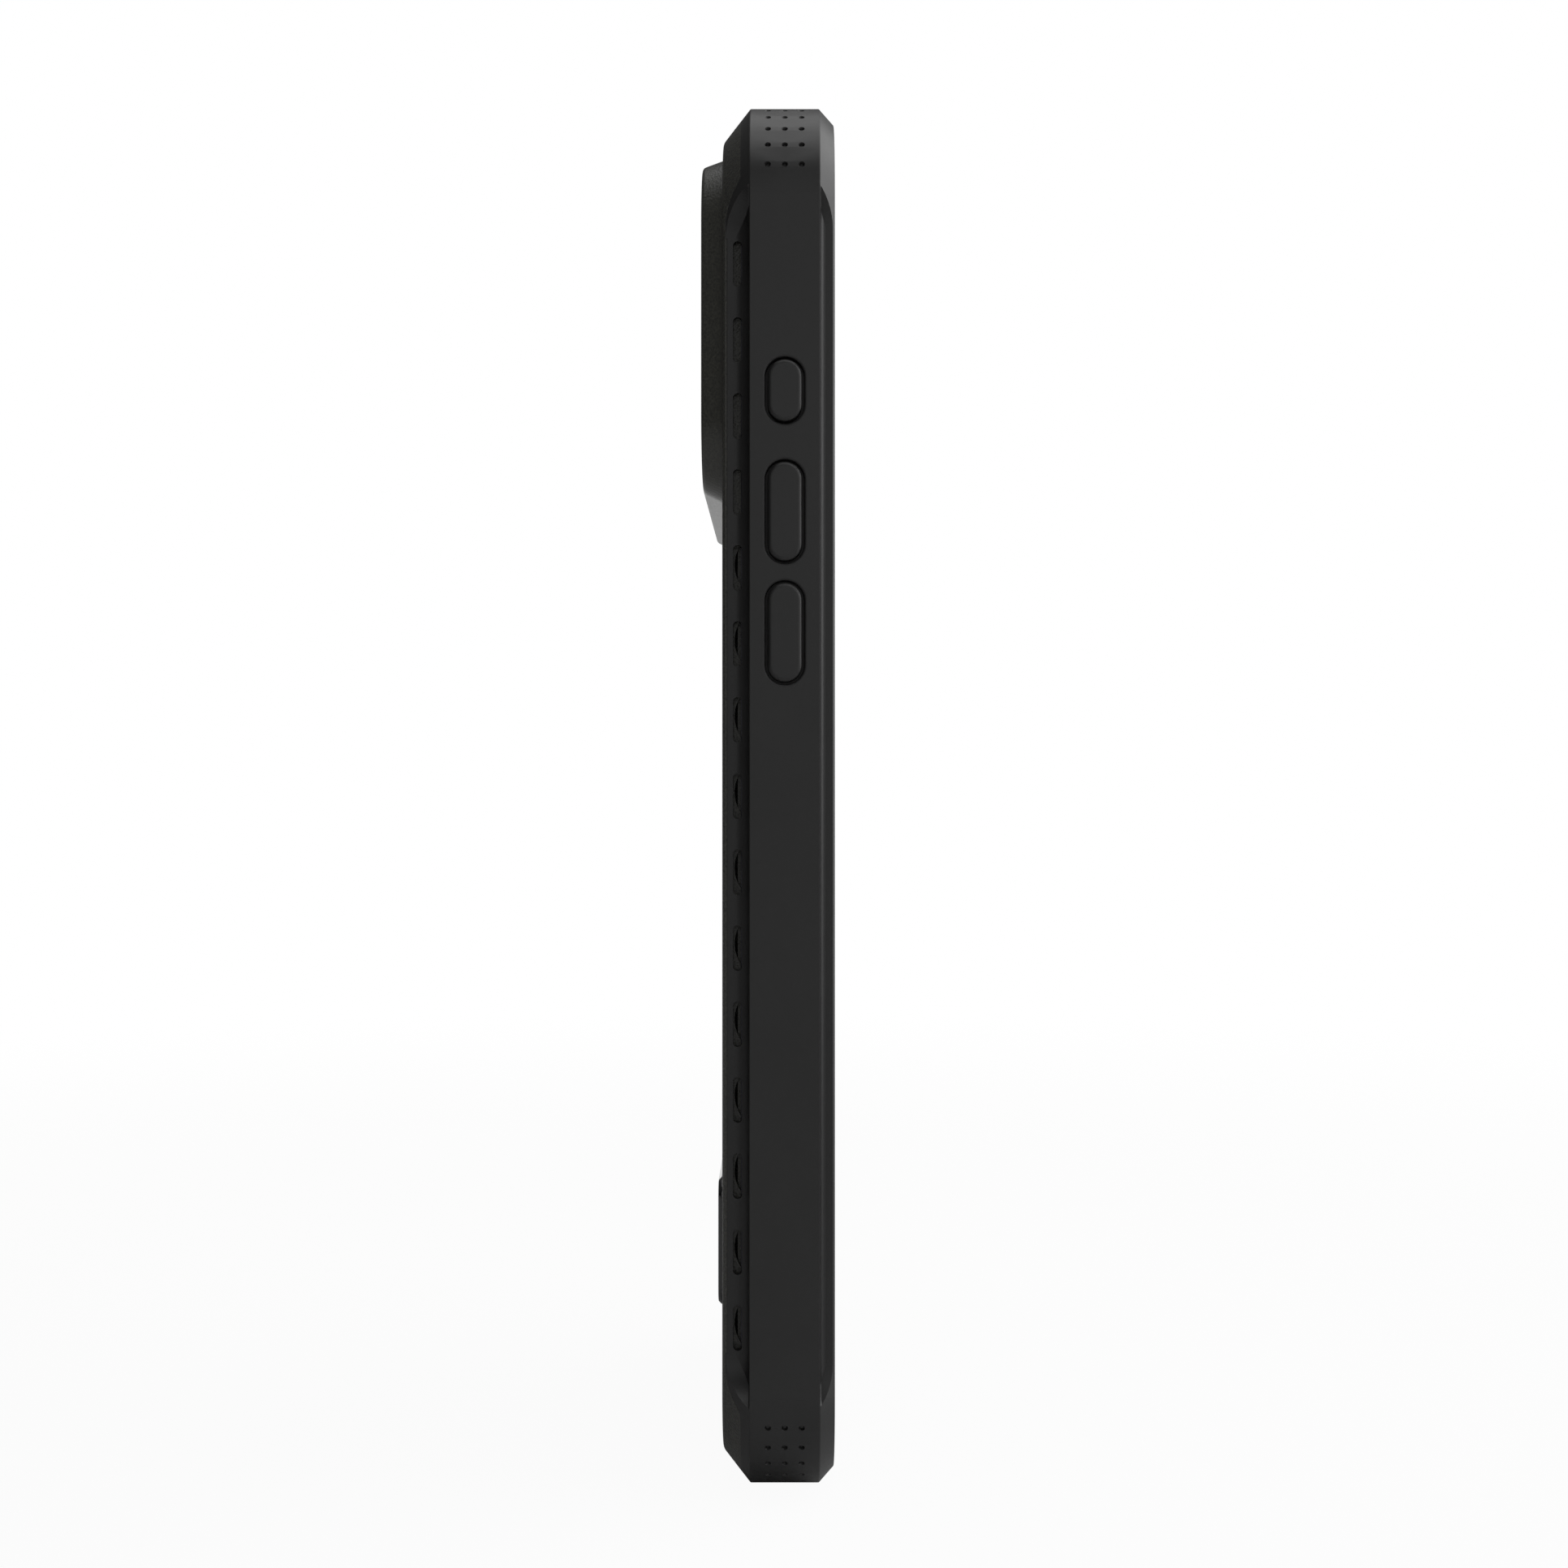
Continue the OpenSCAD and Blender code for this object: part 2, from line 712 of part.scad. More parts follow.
module rear_shell() {
    color([0.15, 0.15, 0.14])
        upright()
            difference() {
                intersection() {
                    case_block();
                    translate([-case_w, -case_h, back_z - CUT])
                        cube([2 * case_w, 2 * case_h, shell_t + CUT]);
                }
                skin(bond_gap);
                rear_coves(0);
                camera_hole(collar_t + collar_gap, back_z - CUT, CUT);
                magnet_outline(magnet_gap, magnet_z, CUT);
                film_neck(magnet_gap, film_z, CUT);
                air_ways();
                translate([0, plate_y, 0])
                    block(
                        plate_w + 2 * plate_gap, plate_h + 2 * plate_gap, plate_r + plate_gap,
                        back_z - CUT, back_z + plate_recess_t
                    );
                translate([0, magnet_y, back_z - CUT])
                    difference() {
                        cylinder(r = face_r + face_groove_w, h = CUT + face_groove_t);
                        cylinder(r = face_r, h = CUT + face_groove_t);
                    }
            }
}

// One level of the guard: its rim's outline spread by a share of the foot
module guard_level(z, spread, inset) {
    w = guard_w + 2 * (foot_w * spread - inset);
    h = guard_h + 2 * (foot_w * spread - inset) + foot_drop * spread;
    r = camera_r + rim_w + foot_w * spread - inset;
    translate([0, camera_y - foot_drop * spread / 2, z])
        for (x = [-1, 1], y = [-1, 1])
            translate([x * (w / 2 - r), y * (h / 2 - r), 0]) cylinder(r = r, h = EPS, $fn = 96);
}

module camera_guard() {
    steps = 4;
    color([0.15, 0.15, 0.14])
        upright()
            difference() {
                union() {
                    hull() {
                        guard_level(back_z - EPS, 1, 0);
                        for (i = [0 : steps])
                            guard_level(
                                back_z - guard_t + rim_edge_r * (1 - sin(90 * i / steps)),
                                rim_edge_r * (1 - sin(90 * i / steps)) / guard_t,
                                rim_edge_r * (1 - cos(90 * i / steps))
                            );
                    }
                    camera_hole(collar_t, back_z - EPS, shell_z);
                }
                camera_hole(0, back_z - guard_t - CUT, CUT);
            }
}

module name_plate() {
    color([0.05, 0.05, 0.05])
        upright()
            translate([0, plate_y, 0])
                turned_block(plate_w, plate_h, plate_r, rounded_profile(
                    [
                        [plate_r - EPS, back_z - plate_proud],
                        [plate_bevel, back_z - plate_proud],
                        [0, back_z - plate_proud + plate_bevel],
                        [0, back_z + plate_recess_t - tape_t]
                    ],
                    [0, plate_edge_r, plate_edge_r, 0]
                ));
}

module name_plate_tape() {
    color([0.25, 0.25, 0.25])
        upright()
            translate([0, plate_y, 0])
                block(
                    plate_w - 2 * tape_inset, plate_h - 2 * tape_inset, plate_r - tape_inset,
                    back_z + plate_recess_t - tape_t, back_z + plate_recess_t
                );
}

// ---------- inside ----------

module seat_liner() {
    color([0.17, 0.17, 0.18])
        upright()
            difference() {
                block(
                    phone_w - 2 * liner_inset, phone_h - 2 * liner_inset, phone_r - liner_inset,
                    shell_z, 0
                );
                camera_hole(collar_gap, shell_z - CUT, CUT);
            }
}

module magnet_ring() {
    step = 360 / magnet_count;
    color([0.7, 0.7, 0.72])
        upright()
            translate([0, magnet_y, magnet_z])
                for (i = [0 : magnet_count - 1])
                    rotate([0, 0, i * step + magnet_gap_angle / 2])
                        rotate_extrude(angle = step - magnet_gap_angle)
                            translate([magnet_id / 2, 0]) square([(magnet_od - magnet_id) / 2, magnet_t]);
}

module alignment_magnet() {
    color([0.7, 0.7, 0.72])
        upright()
            translate([-bar_w / 2, bar_y - bar_l / 2, magnet_z]) cube([bar_w, bar_l, magnet_t]);
}

module magnet_film() {
    color([0.2, 0.2, 0.2])
        upright() {
            magnet_outline(0, film_z, shell_z);
            film_neck(0, film_z, shell_z);
        }
}

// ---------- buttons ----------

// Cap, flange and nub in one, drawn looking into the wall
module button(length) {
    cap_pts = rounded_profile(
        [[0, -cap_proud], [cap_w / 2, -cap_proud], [cap_w / 2, flange_z]],
        [0, cap_edge_r, 0], 5
    );
    edge = cap_w / 2 + flange_w;
    color([0.12, 0.12, 0.12]) {
        track(length - 2 * moat_w, cap_w, concat(
            [for (i = [1 : len(cap_pts) - 1]) cap_pts[i]],
            [[edge, flange_z], [edge, flange_z + flange_t]]
        ));
        slot(length - button_w + nub_w, nub_w, flange_z, wall_t - nub_back);
    }
}

module action_button() {
    upright() on_side(false, action_y, band_z) button(action_l);
}

module volume_up_button() {
    upright() on_side(false, volume_up_y, band_z) button(volume_l);
}

module volume_down_button() {
    upright() on_side(false, volume_down_y, band_z) button(volume_l);
}

module side_button() {
    upright() on_side(true, side_y, band_z) button(side_l);
}

// Window in a retainer for one button's nub
module nub_window(length) {
    w = nub_w + 2 * nub_gap;
    slot(length - button_w + w, w, 0, wall_t + CUT);
}

module left_button_retainer() {
    middle_y = (left_top_y + left_low_y) / 2;
    color([0.2, 0.2, 0.2])
        upright()
            difference() {
                on_side(false, middle_y, band_z)
                    slot(left_top_y - left_low_y, retainer_w, retainer_depth, wall_t);
                on_side(false, action_y, band_z) nub_window(action_l);
                on_side(false, volume_up_y, band_z) nub_window(volume_l);
                on_side(false, volume_down_y, band_z) nub_window(volume_l);
            }
}

module right_button_retainer() {
    color([0.2, 0.2, 0.2])
        upright()
            on_side(true, side_y, band_z)
                difference() {
                    slot(side_l + 2 * retainer_margin, retainer_w, retainer_depth, wall_t);
                    nub_window(side_l);
                }
}

bumper_frame();
rear_shell();
camera_guard();
seat_liner();
magnet_ring();
alignment_magnet();
magnet_film();
name_plate();
name_plate_tape();
action_button();
volume_up_button();
volume_down_button();
side_button();
left_button_retainer();
right_button_retainer();
top_left_pad();
top_right_pad();
bottom_left_pad();
bottom_right_pad();
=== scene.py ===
import logging
import math
from dataclasses import dataclass
from enum import Enum

import bpy
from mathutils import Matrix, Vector, geometry


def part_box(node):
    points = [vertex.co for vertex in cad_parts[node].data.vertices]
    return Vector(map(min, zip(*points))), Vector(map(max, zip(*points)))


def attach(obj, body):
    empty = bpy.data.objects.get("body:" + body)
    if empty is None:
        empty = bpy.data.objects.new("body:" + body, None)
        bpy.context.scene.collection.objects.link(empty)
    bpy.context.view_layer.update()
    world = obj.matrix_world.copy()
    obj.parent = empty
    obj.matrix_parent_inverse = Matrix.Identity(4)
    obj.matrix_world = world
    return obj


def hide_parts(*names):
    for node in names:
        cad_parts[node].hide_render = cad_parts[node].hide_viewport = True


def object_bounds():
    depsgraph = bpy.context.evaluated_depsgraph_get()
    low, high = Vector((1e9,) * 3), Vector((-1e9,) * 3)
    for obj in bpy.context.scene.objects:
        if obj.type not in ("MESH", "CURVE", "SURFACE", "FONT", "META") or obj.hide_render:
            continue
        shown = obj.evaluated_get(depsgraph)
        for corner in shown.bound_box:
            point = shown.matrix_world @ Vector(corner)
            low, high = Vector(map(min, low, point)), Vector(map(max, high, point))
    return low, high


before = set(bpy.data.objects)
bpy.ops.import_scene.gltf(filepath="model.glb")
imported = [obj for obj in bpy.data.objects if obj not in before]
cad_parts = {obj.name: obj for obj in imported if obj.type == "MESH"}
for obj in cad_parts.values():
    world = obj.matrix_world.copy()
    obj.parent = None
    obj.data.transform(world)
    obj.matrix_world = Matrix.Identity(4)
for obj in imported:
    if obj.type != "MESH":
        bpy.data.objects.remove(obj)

CAD_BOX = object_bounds()
MM = 0.001

log = logging.getLogger("phone_case")


# ---------- nodes and colours ----------


def linear(code: str) -> tuple[float, float, float, float]:
    """Turns an sRGB hex colour into linear RGBA.

    Args:
        code: The colour, such as "#1E1E1E".

    Returns:
        Red, green, blue and alpha, each from 0 to 1.
    """
    parts = [int(code[i:i + 2], 16) / 255 for i in (1, 3, 5)]
    return (*(p / 12.92 if p <= 0.04045 else ((p + 0.055) / 1.055) ** 2.4 for p in parts), 1.0)


def add_node(tree: bpy.types.NodeTree, kind: str, inputs: dict | None = None, **settings) -> bpy.types.Node:
    """Adds a node, sets its properties, and fills or links its inputs.

    Args:
        tree: The tree that takes the node.
        kind: The node's type name.
        inputs: A value or an output socket for each input, by name or number.
        settings: The node's own properties.

    Returns:
        The new node.
    """
    node = tree.nodes.new(kind)
    for name, value in settings.items():
        setattr(node, name, value)
    for name, value in (inputs or {}).items():
        if isinstance(value, bpy.types.NodeSocket):
            tree.links.new(value, node.inputs[name])
        else:
            node.inputs[name].default_value = value
    return node


def grains(size: float) -> float:
    """Returns the texture scale at which one grain measures size millimetres."""
    return 1 / (size * MM)


# ---------- finishes ----------


@dataclass(frozen=True)
class Finish:
    """A real material and how its surface was made: the base of every finish here."""

    name: str
    colour: str
    roughness: float
    ior: float = 1.5

    def material(self) -> bpy.types.Material:
        """Builds the finish on first use.

        Returns:
            The finish's material.
        """
        made = bpy.data.materials.get(self.name)
        if made:
            return made
        made = bpy.data.materials.new(self.name)
        made.use_nodes = True
        made.diffuse_color = linear(self.colour)
        tree = made.node_tree
        shader = tree.nodes["Principled BSDF"]
        shader.inputs["Base Color"].default_value = linear(self.colour)
        shader.inputs["Roughness"].default_value = self.roughness
        shader.inputs["IOR"].default_value = self.ior
        place = add_node(tree, "ShaderNodeTexCoord").outputs["Object"]
        self.dress(tree, shader, place)
        return made

    def dress(self, tree: bpy.types.NodeTree, shader: bpy.types.Node, place: bpy.types.NodeSocket) -> None:
        """Adds what the surface shows; each finish has its own.

        Args:
            tree: The material's node tree.
            shader: Its Principled shader.
            place: The Object coordinates.
        """
        raise NotImplementedError

    def vary(
        self, tree: bpy.types.NodeTree, shader: bpy.types.Node, place: bpy.types.NodeSocket,
        size: float, lighter: str, swing: float,
    ) -> bpy.types.NodeSocket:
        """Lets the colour and the roughness wander over patches of one size.

        Args:
            tree: The material's node tree.
            shader: Its Principled shader.
            place: The Object coordinates.
            size: Width of a patch, in millimetres.
            lighter: The colour of the palest patches.
            swing: How far the roughness moves each way.

        Returns:
            The pattern's value, from 0 to 1.
        """
        cloud = add_node(tree, "ShaderNodeTexNoise", {"Vector": place, "Scale": grains(size), "Detail": 4.0})
        value = cloud.outputs["Fac"]
        blend = add_node(tree, "ShaderNodeMapRange", {"Value": value, "From Min": 0.35, "From Max": 0.65})
        tint = add_node(tree, "ShaderNodeMix", {
            "Factor": blend.outputs["Result"], "A": linear(self.colour), "B": linear(lighter),
        }, data_type="RGBA")
        tree.links.new(tint.outputs[2], shader.inputs["Base Color"])
        gloss = add_node(tree, "ShaderNodeMapRange", {
            "Value": value, "From Min": 0.3, "From Max": 0.7,
            "To Min": self.roughness - swing, "To Max": self.roughness + swing,
        })
        tree.links.new(gloss.outputs["Result"], shader.inputs["Roughness"])
        return value


@dataclass(frozen=True)
class MouldedTpu(Finish):
    """Thermoplastic polyurethane moulded against a vapour-blasted tool."""

    lighter: str = "#181818"
    patch: float = 7.0
    grain: float = 0.16

    def dress(self, tree: bpy.types.NodeTree, shader: bpy.types.Node, place: bpy.types.NodeSocket) -> None:
        """Satin black with slow changes of sheen where the melt flowed (see Finish.dress)."""
        self.vary(tree, shader, place, self.patch, self.lighter, 0.03)
        # The blasted grain is near 0.03 mm, too fine to show, so it is drawn five times as coarse
        blast = add_node(tree, "ShaderNodeTexNoise", {
            "Vector": place, "Scale": grains(self.grain), "Detail": 2.0,
        })
        bump = add_node(tree, "ShaderNodeBump", {
            "Height": blast.outputs["Fac"], "Strength": 0.12, "Distance": 0.01 * MM,
        })
        tree.links.new(bump.outputs["Normal"], shader.inputs["Normal"])


@dataclass(frozen=True)
class ErodedPolycarbonate(Finish):
    """Polycarbonate moulded against a spark-eroded tool."""

    lighter: str = "#3C3C36"
    pit: float = 0.24
    depth: float = 0.05

    def dress(self, tree: bpy.types.NodeTree, shader: bpy.types.Node, place: bpy.types.NodeSocket) -> None:
        """A hard, dry surface whose fine pits break every reflection up (see Finish.dress)."""
        # Erosion leaves craters of 0.1 to 0.3 mm, of which the coarsest are drawn
        pits = add_node(tree, "ShaderNodeTexNoise", {
            "Vector": place, "Scale": grains(self.pit), "Detail": 3.0, "Roughness": 0.6,
        })
        self.vary(tree, shader, place, self.pit, self.lighter, 0.05)
        craters = add_node(tree, "ShaderNodeTexVoronoi", {
            "Vector": place, "Scale": grains(self.pit), "Smoothness": 0.6,
        }, feature="SMOOTH_F1")
        height = add_node(tree, "ShaderNodeMath", {
            0: pits.outputs["Fac"], 1: craters.outputs["Distance"],
        }, operation="ADD")
        bump = add_node(tree, "ShaderNodeBump", {
            "Height": height.outputs["Value"], "Strength": 0.9, "Distance": self.depth * MM,
        })
        tree.links.new(bump.outputs["Normal"], shader.inputs["Normal"])


@dataclass(frozen=True)
class PolishedAcrylic(Finish):
    """Acrylic badge stock with a flame-polished face."""

    lighter: str = "#0E0E0F"
    haze: float = 5.0

    def dress(self, tree: bpy.types.NodeTree, shader: bpy.types.Node, place: bpy.types.NodeSocket) -> None:
        """Deep gloss black with the faint haze that wiping leaves (see Finish.dress)."""
        self.vary(tree, shader, place, self.haze, self.lighter, 0.015)
        shader.inputs["Coat Weight"].default_value = 0.5
        shader.inputs["Coat Roughness"].default_value = 0.03


@dataclass(frozen=True)
class Microfibre(Finish):
    """Microfibre suede, brushed so that its nap lies in strokes."""

    # The colour of the painted sheen on the nap's strokes
    lighter: str = "#4A4A50"

    def dress(self, tree: bpy.types.NodeTree, shader: bpy.types.Node, place: bpy.types.NodeSocket) -> None:
        """Soft dark grey with paler strokes of painted sheen, where the leaning nap would catch the light
        (see Finish.dress).
        """
        # The lighter colour along these stretched strokes is painted sheen; the roughness swing that goes
        # with it is the fibre's own
        painted_sheen_strokes = add_node(tree, "ShaderNodeMapping", {"Vector": place, "Scale": (1.0, 1.0, 0.25)})
        self.vary(tree, shader, painted_sheen_strokes.outputs["Vector"], 2.4, self.lighter, 0.04)
        shader.inputs["Sheen Weight"].default_value = 0.35
        shader.inputs["Sheen Roughness"].default_value = 0.4
        # A fibre is 0.01 mm thick, so bundles of fibres are drawn
        fibres = add_node(tree, "ShaderNodeTexNoise", {"Vector": place, "Scale": grains(0.22), "Detail": 3.0})
        bump = add_node(tree, "ShaderNodeBump", {
            "Height": fibres.outputs["Fac"], "Strength": 0.5, "Distance": 0.05 * MM,
        })
        tree.links.new(bump.outputs["Normal"], shader.inputs["Normal"])


@dataclass(frozen=True)
class NickelPlate(Finish):
    """Sintered magnets plated with nickel in a barrel."""

    lighter: str = "#C9C4B8"
    mottle: float = 0.8

    def dress(self, tree: bpy.types.NodeTree, shader: bpy.types.Node, place: bpy.types.NodeSocket) -> None:
        """Warm grey metal, softly mottled by the tumbling (see Finish.dress)."""
        shader.inputs["Metallic"].default_value = 1.0
        value = self.vary(tree, shader, place, self.mottle, self.lighter, 0.06)
        bump = add_node(tree, "ShaderNodeBump", {"Height": value, "Strength": 0.15, "Distance": 0.02 * MM})
        tree.links.new(bump.outputs["Normal"], shader.inputs["Normal"])


@dataclass(frozen=True)
class DieCutSheet(Finish):
    """Thin film or foam tape cut from a roll."""

    lighter: str = "#2A2A2A"
    cell: float = 0.5
    relief: float = 0.02

    def dress(self, tree: bpy.types.NodeTree, shader: bpy.types.Node, place: bpy.types.NodeSocket) -> None:
        """A flat sheet with the small cells or haze of its stock (see Finish.dress)."""
        self.vary(tree, shader, place, self.cell, self.lighter, 0.04)
        cells = add_node(tree, "ShaderNodeTexVoronoi", {"Vector": place, "Scale": grains(self.cell)})
        bump = add_node(tree, "ShaderNodeBump", {
            "Height": cells.outputs["Distance"], "Strength": 0.3, "Distance": self.relief * MM,
        })
        tree.links.new(bump.outputs["Normal"], shader.inputs["Normal"])


FRAME_TPU = MouldedTpu("moulded_tpu_satin", "#121212", 0.44)
KEY_POLYCARBONATE = MouldedTpu("moulded_polycarbonate_satin", "#121212", 0.42, lighter="#161616", patch=4.0)
RETAINER_TPU = MouldedTpu("moulded_tpu_matt", "#262626", 0.62, lighter="#2C2C2C")
PAD_ELASTOMER = MouldedTpu("foamed_elastomer_matt", "#303032", 0.72, lighter="#3A3A3C", patch=1.5, grain=0.4)
SHELL_POLYCARBONATE = ErodedPolycarbonate("eroded_polycarbonate", "#242422", 0.44)
GUARD_POLYCARBONATE = ErodedPolycarbonate("fine_eroded_polycarbonate", "#2E2E2B", 0.34, depth=0.015)
PLATE_ACRYLIC = PolishedAcrylic("polished_acrylic", "#08080A", 0.07)
LINER_SUEDE = Microfibre("microfibre_suede", "#2E2E33", 0.9)
MAGNET_NICKEL = NickelPlate("barrel_nickel", "#AFAAA0", 0.3)
FILM_PET = DieCutSheet("die_cut_pet_film", "#1A1A1A", 0.35, lighter="#202020", cell=1.2, relief=0.005)
TAPE_FOAM = DieCutSheet("die_cut_foam_tape", "#333333", 0.85, lighter="#444444", cell=0.35, relief=0.06)


# ---------- sub-assemblies ----------


class SubAssembly:
    """A group of pieces that are made and fitted together."""

    def build(self) -> None:
        """Makes and dresses the group's pieces."""
        raise NotImplementedError

    def dress_node(self, node: str, finish: Finish) -> None:
        """Gives a construction node its finish.

        Args:
            node: The node's name.
            finish: What it is made of.
        """
        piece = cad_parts[node]
        for holder in piece.material_slots:
            holder.material = finish.material()
        low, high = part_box(node)
        size = (high - low) / MM
        log.info("%s: %s, %.1f x %.1f x %.1f mm", node, finish.name, size.x, size.y, size.z)


@dataclass
class BumperFrame(SubAssembly):
    """The soft frame with the four pads in its corners."""

    corners: tuple[str, ...] = ("top_left", "top_right", "bottom_left", "bottom_right")

    def build(self) -> None:
        """Dresses the frame and its pads."""
        self.dress_node("bumper_frame", FRAME_TPU)
        for corner in self.corners:
            self.dress_node(f"{corner}_pad", PAD_ELASTOMER)


@dataclass
class BackShell(SubAssembly):
    """The hard shell with the camera guard and the name plate."""

    def build(self) -> None:
        """Dresses the shell, the guard, the plate and its tape."""
        self.dress_node("rear_shell", SHELL_POLYCARBONATE)
        self.dress_node("camera_guard", GUARD_POLYCARBONATE)
        self.dress_node("name_plate", PLATE_ACRYLIC)
        self.dress_node("name_plate_tape", TAPE_FOAM)


@dataclass
class MagnetSet(SubAssembly):
    """The magnets in the shell and the film that holds them."""

    def build(self) -> None:
        """Dresses the magnets and their film."""
        self.dress_node("magnet_ring", MAGNET_NICKEL)
        self.dress_node("alignment_magnet", MAGNET_NICKEL)
        self.dress_node("magnet_film", FILM_PET)


@dataclass
class SideKeys(SubAssembly):
    """The four push buttons and the retainers behind them."""

    keys: tuple[str, ...] = ("action", "volume_up", "volume_down", "side")

    def build(self) -> None:
        """Dresses the buttons and the retainers."""
        for key in self.keys:
            self.dress_node(f"{key}_button", KEY_POLYCARBONATE)
        for side in ("left", "right"):
            self.dress_node(f"{side}_button_retainer", RETAINER_TPU)


class Nap(Enum):
    """Where the tufts of a napped sheet lean."""

    SMOOTHED = 35.0
    RUFFLED = 62.0


@dataclass
class SeatLiner(SubAssembly):
    """The microfibre sheet that the phone's back lies on, with its nap.

    The sheet is made as ground fabric with a cut edge, and short tufts stand on it up to
    the level of the phone's back.
    """

    width: float = 68.5
    length: float = 146.6
    corner: float = 10.8
    window_width: float = 62.5
    window_length: float = 33.8
    window_corner: float = 6.45
    window_rise: float = 52.95
    thickness: float = 0.45
    nap_length: float = 0.16
    tuft_width: float = 0.34
    tufts_per_mm2: float = 1.9
    edge_rounding: float = 0.1
    bare_edge: float = 0.45
    corner_steps: int = 12
    tuft_reach: float = 2.6
    root: float = 0.05
    shortest: float = 0.75
    scatter: float = 0.5
    stroke: float = 9.0
    seed: int = 7
    lean: Nap = Nap.RUFFLED

    def outline(self, window: bool, inset: float, level: float) -> list[Vector]:
        """Lists the points round one edge of the sheet.

        Args:
            window: True for the camera window's edge, False for the outer one.
            inset: How far the ring lies inside the fabric, in millimetres.
            level: Its depth behind the phone's back, in millimetres.

        Returns:
            The ring's points, in metres.
        """
        grow = inset if window else -inset
        half_x = (self.window_width if window else self.width) / 2 + grow
        half_z = (self.window_length if window else self.length) / 2 + grow
        r = (self.window_corner if window else self.corner) + grow
        rise = self.window_rise if window else 0.0
        points = []
        for quarter, (sx, sz) in enumerate(((1, 1), (-1, 1), (-1, -1), (1, -1))):
            for step in range(self.corner_steps + 1):
                angle = math.radians(90 * quarter + 90 / self.corner_steps * step)
                x = sx * (half_x - r) + r * math.cos(angle)
                z = rise + sz * (half_z - r) + r * math.sin(angle)
                points.append(Vector((x, level, z)) * MM)
        return points

    def ground(self) -> bpy.types.Object:
        """Makes the ground fabric with its cut edges.

        Returns:
            The sheet's object.
        """
        face = self.nap_length
        rings = [(self.edge_rounding, face), (0.0, face + self.edge_rounding), (0.0, self.thickness)]
        points, faces = [], []
        for window in (False, True):
            count = len(self.outline(window, 0, 0))
            first = len(points)
            for inset, level in rings:
                points += self.outline(window, inset, level)
            for ring in range(len(rings) - 1):
                for i in range(count):
                    j = (i + 1) % count
                    low, high = first + ring * count, first + (ring + 1) * count
                    quad = (low + i, low + j, high + j, high + i)
                    faces.append(quad[::-1] if window else quad)
        per_edge = len(rings) * count
        for ring, side in ((0, -1), (len(rings) - 1, 1)):
            index = [k * per_edge + ring * count + i for k in (0, 1) for i in range(count)]
            faces += self.web([points[i] for i in index], index, side)
        return self.make("liner_ground", points, faces)

    @staticmethod
    def web(points: list[Vector], index: list[int], side: int) -> list[list[int]]:
        """Fills the flat face between the outer edge and the window.

        Args:
            points: The outer ring, then as many points round the window.
            index: Each point's number in the mesh.
            side: The sign of the face's normal along Y.

        Returns:
            The triangles.
        """
        half = len(points) // 2
        flat = [Vector((p.x, p.z, 0)) for p in points]
        triangles = []
        for a, b, c in geometry.tessellate_polygon([flat[:half], flat[half:]]):
            normal = (points[b] - points[a]).cross(points[c] - points[a])
            order = (a, b, c) if normal.y * side > 0 else (a, c, b)
            triangles.append([index[i] for i in order])
        return triangles

    @staticmethod
    def make(name: str, points: list[Vector], faces: list) -> bpy.types.Object:
        """Makes a mesh object in the liner's material.

        Args:
            name: The object's name.
            points: Its vertices.
            faces: Its faces.

        Returns:
            The object.
        """
        mesh = bpy.data.meshes.new(name)
        mesh.from_pydata(points, [], faces)
        mesh.materials.append(LINER_SUEDE.material())
        made = bpy.data.objects.new(name, mesh)
        bpy.context.collection.objects.link(made)
        return made

    def nap_group(self) -> bpy.types.NodeTree:
        """Builds the nodes that plant leaning tufts over the fabric's face.

        Returns:
            The node group, with the sizes as named inputs.
        """
        group = bpy.data.node_groups.new("planted_nap", "GeometryNodeTree")
        face = group.interface
        face.new_socket("Geometry", in_out="INPUT", socket_type="NodeSocketGeometry")
        for name in ("Density", "Tuft Length", "Tuft Width", "Lean", "Stroke Scale"):
            face.new_socket(name, in_out="INPUT", socket_type="NodeSocketFloat")
        face.new_socket("Seed", in_out="INPUT", socket_type="NodeSocketInt")
        face.new_socket("Material", in_out="INPUT", socket_type="NodeSocketMaterial")
        face.new_socket("Geometry", in_out="OUTPUT", socket_type="NodeSocketGeometry")
        given = add_node(group, "NodeGroupInput").outputs
        points = add_node(group, "GeometryNodeDistributePointsOnFaces", {
            "Mesh": given["Geometry"], "Density": given["Density"], "Seed": given["Seed"],
        })
        # A tuft is a cone of four sides that lies over to one side
        tuft = add_node(group, "GeometryNodeMeshCone", {
            "Vertices": 4, "Radius Top": 0.0, "Radius Bottom": given["Tuft Width"],
            "Depth": given["Tuft Length"],
        }, fill_type="NONE")
        stroke = add_node(group, "ShaderNodeTexNoise", {
            "Vector": add_node(group, "GeometryNodeInputPosition").outputs["Position"],
            "Scale": given["Stroke Scale"], "Detail": 1.0,
        })
        way = add_node(group, "ShaderNodeMapRange", {
            "Value": stroke.outputs["Fac"], "From Min": 0.3, "From Max": 0.7,
            "To Min": -math.pi / 3, "To Max": math.pi / 3,
        })
        scatter = add_node(group, "FunctionNodeRandomValue", {
            2: -self.scatter, 3: self.scatter, "Seed": given["Seed"],
        }, data_type="FLOAT")
        turned = add_node(group, "ShaderNodeMath", {
            0: way.outputs["Result"], 1: scatter.outputs[1],
        }, operation="ADD")
        lying = add_node(group, "ShaderNodeMath", {0: given["Lean"], 1: math.pi / 2}, operation="ADD")
        pose = add_node(group, "ShaderNodeCombineXYZ", {
            "X": lying.outputs["Value"], "Y": turned.outputs["Value"], "Z": 0.0,
        })
        size = add_node(group, "FunctionNodeRandomValue", {
            2: self.shortest, 3: 1.0, "Seed": given["Seed"],
        }, data_type="FLOAT")
